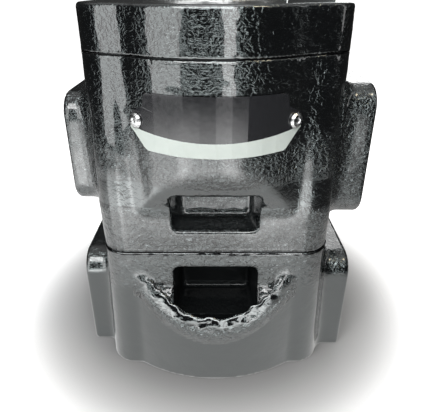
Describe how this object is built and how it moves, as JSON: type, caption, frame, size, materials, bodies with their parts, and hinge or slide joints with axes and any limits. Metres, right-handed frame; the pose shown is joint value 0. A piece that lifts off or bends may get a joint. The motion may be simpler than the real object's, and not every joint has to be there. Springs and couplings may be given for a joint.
{
  "type": "hydraulic gear pump",
  "caption": "Tandem hydraulic gear pump in stacked black iron castings, with a splined drive shaft, flanged side ports and a riveted nameplate.",
  "frame": {"origin": "on the drive shaft's axis, in the rear face that the pump stands on", "axes": "+Z along the drive shaft towards its splined end, +X towards the inlet ports, -Y towards the nameplate"},
  "size_m": [0.148, 0.1509, 0.2186],
  "materials": {
    "black_paint": "gloss enamel over cast iron",
    "ground_steel": "ground",
    "dark_steel": "black oxide",
    "bearing_alloy": "machined",
    "bush_bronze": "bored",
    "seal_rubber": "matt",
    "plate_alloy": "satin"
  },
  "bodies": {
    "housing": {"front_cover": "black_paint", "main_body": "black_paint", "rear_body": "black_paint", "main_front_block": "bearing_alloy", "main_rear_block": "bearing_alloy", "rear_front_block": "bearing_alloy", "rear_rear_block": "bearing_alloy", "main_front_drive_bush": "bush_bronze", "main_front_driven_bush": "bush_bronze", "main_rear_drive_bush": "bush_bronze", "main_rear_driven_bush": "bush_bronze", "rear_front_drive_bush": "bush_bronze", "rear_front_driven_bush": "bush_bronze", "rear_rear_drive_bush": "bush_bronze", "rear_rear_driven_bush": "bush_bronze", "front_joint_seal": "seal_rubber", "rear_joint_seal": "seal_rubber", "shaft_lip_seal": "seal_rubber", "seal_retaining_ring": "dark_steel", "front_dowel_1": "ground_steel", "front_dowel_2": "ground_steel", "rear_dowel_1": "ground_steel", "rear_dowel_2": "ground_steel", "tie_screw_1": "dark_steel", "tie_screw_2": "dark_steel", "tie_screw_3": "dark_steel", "tie_screw_4": "dark_steel", "tie_screw_washer_1": "dark_steel", "tie_screw_washer_2": "dark_steel", "tie_screw_washer_3": "dark_steel", "tie_screw_washer_4": "dark_steel", "nameplate": "plate_alloy", "nameplate_rivet_1": "plate_alloy", "nameplate_rivet_2": "plate_alloy"},
    "drive_line": {"drive_shaft": "ground_steel", "rear_drive_gear": "ground_steel", "shaft_coupling": "dark_steel"},
    "main_idler": {"main_driven_gear": "ground_steel"},
    "rear_idler": {"rear_driven_gear": "ground_steel"}
  },
  "joints": [
    {"name": "drive_spin", "type": "hinge", "parent": "housing", "child": "drive_line", "pos_m": [0, 0, 0], "axis": [0, 0, 1], "continuous": true},
    {"name": "main_idler_spin", "type": "hinge", "parent": "housing", "child": "main_idler", "pos_m": [0, -0.04, 0], "axis": [0, 0, 1], "continuous": true},
    {"name": "rear_idler_spin", "type": "hinge", "parent": "housing", "child": "rear_idler", "pos_m": [0, -0.032, 0], "axis": [0, 0, 1], "continuous": true}
  ],
  "couplings": [
    {"joint": "main_idler_spin", "follows": "drive_spin", "ratio": -1},
    {"joint": "rear_idler_spin", "follows": "drive_spin", "ratio": -1}
  ]
}
